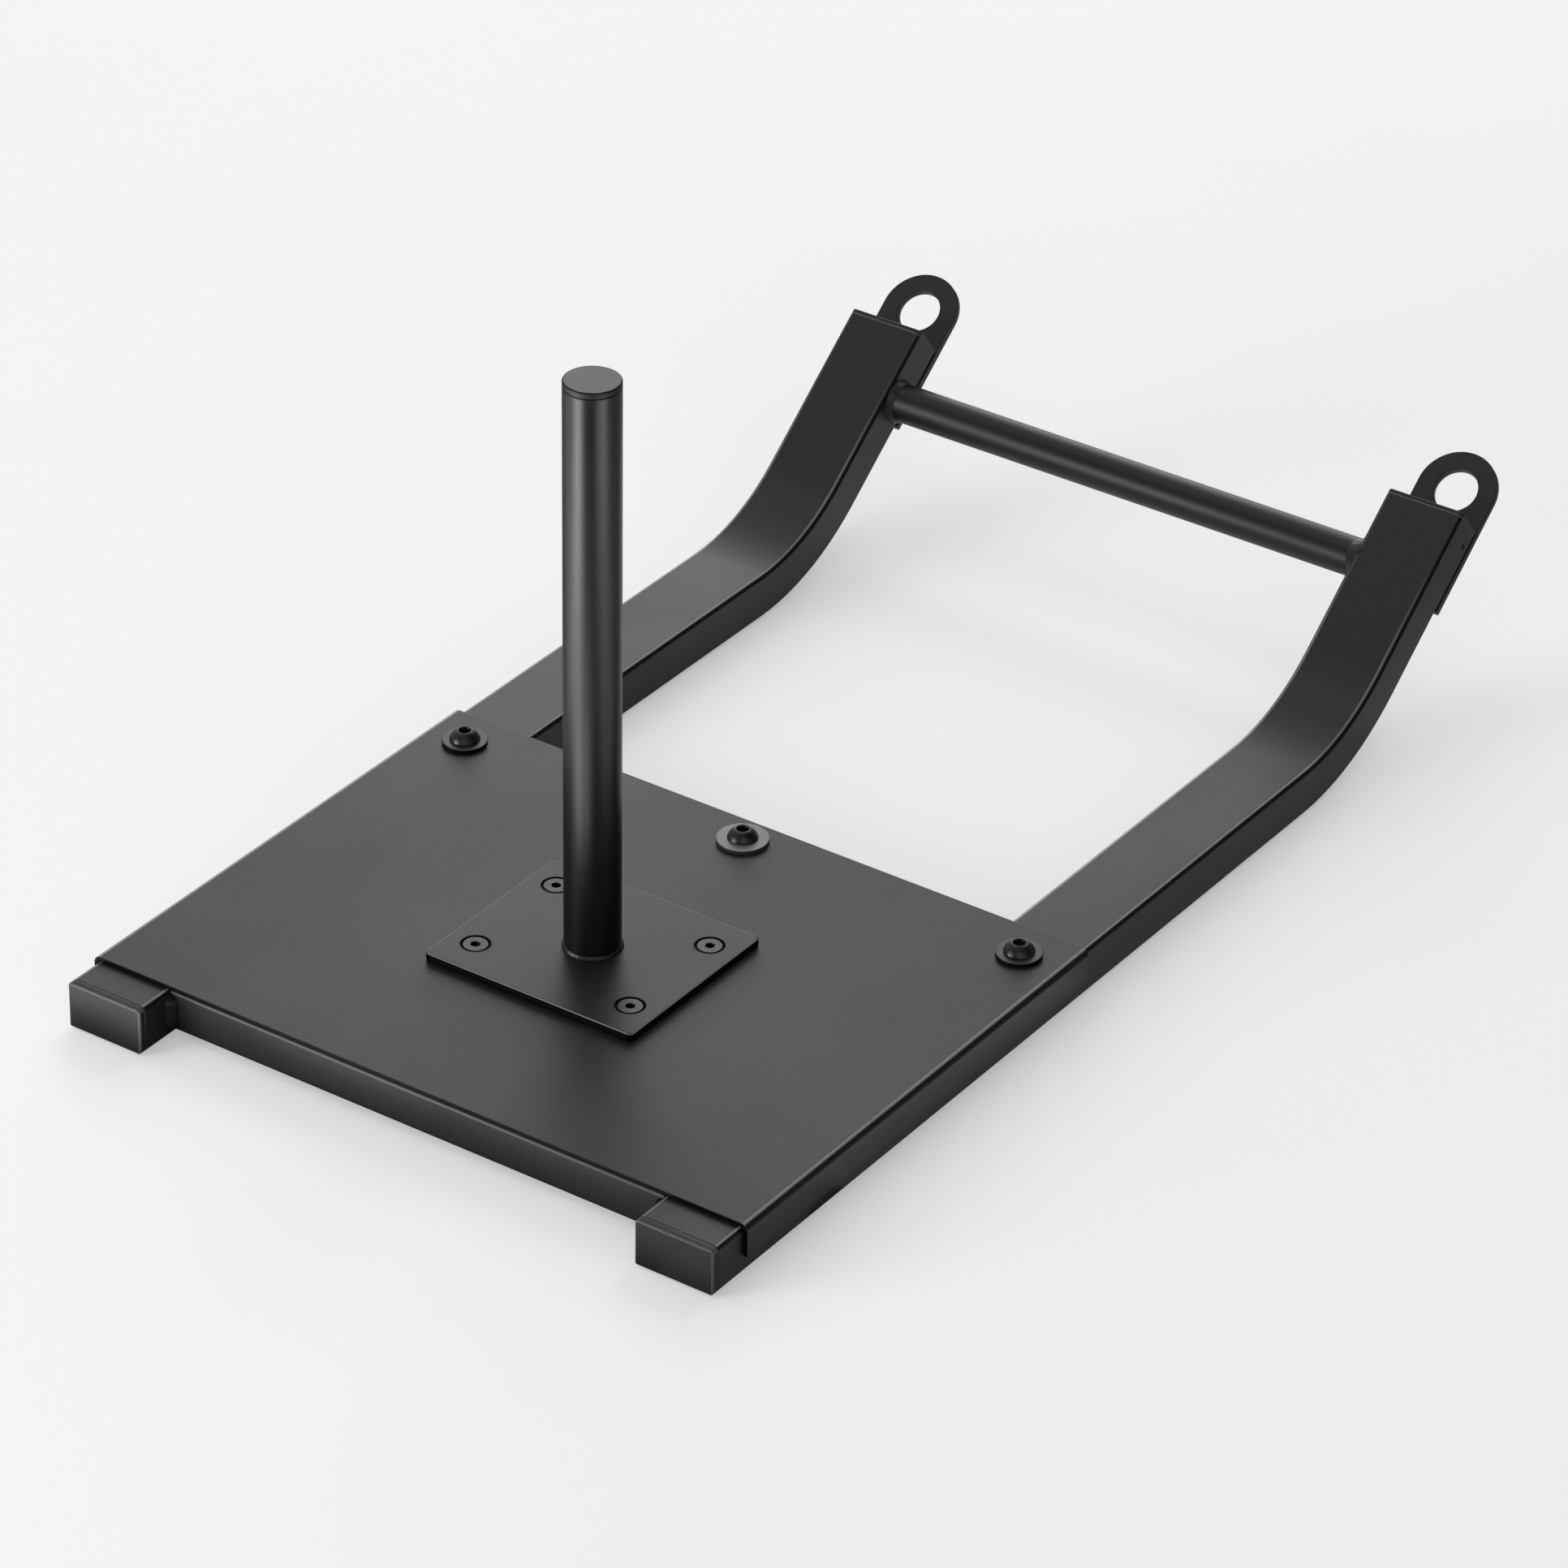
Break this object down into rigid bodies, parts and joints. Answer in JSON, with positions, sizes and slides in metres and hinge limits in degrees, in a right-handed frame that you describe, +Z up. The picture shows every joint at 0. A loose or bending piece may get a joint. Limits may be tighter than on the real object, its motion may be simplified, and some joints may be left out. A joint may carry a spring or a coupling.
{
  "type": "drag sled",
  "caption": "Black steel drag sled with two bent-up tube runners, a folded deck, an upright post for weight plates, a cross bar and end eyes for a pulling strap.",
  "frame": {"origin": "on the ground, under the middle of the sled's outline", "axes": "+X across the sled to the right seen from behind, +Y towards the pulling end, +Z up"},
  "size_m": [0.3466, 0.6426, 0.307],
  "materials": {
    "frame_paint": "satin",
    "deck_paint": "satin",
    "post_paint": "semi-gloss",
    "weld_paint": "satin",
    "washer_paint": "satin",
    "screw_black": "satin",
    "zinc_steel": "satin",
    "cap_plastic": "matte"
  },
  "bodies": {
    "root": {"left_rail": "frame_paint", "right_rail": "frame_paint", "left_rail_end_cap": "cap_plastic", "right_rail_end_cap": "cap_plastic", "left_closing_plate": "frame_paint", "right_closing_plate": "frame_paint", "left_eye_plate": "frame_paint", "right_eye_plate": "frame_paint", "eye_plate_welds": "weld_paint", "near_crossbar": "frame_paint", "far_crossbar": "frame_paint", "crossbar_welds": "weld_paint", "deck_plate": "deck_paint", "deck_rivet_nuts": "zinc_steel", "deck_side_washers": "washer_paint", "deck_centre_washer": "washer_paint", "deck_screws": "screw_black", "post_base_plate": "deck_paint", "weight_post": "post_paint", "post_weld": "weld_paint", "post_end_cap": "cap_plastic", "post_screws": "screw_black", "post_nut_washers": "zinc_steel", "post_nuts": "zinc_steel", "pull_bar": "frame_paint", "pull_bar_welds": "weld_paint"}
  },
  "joints": []
}
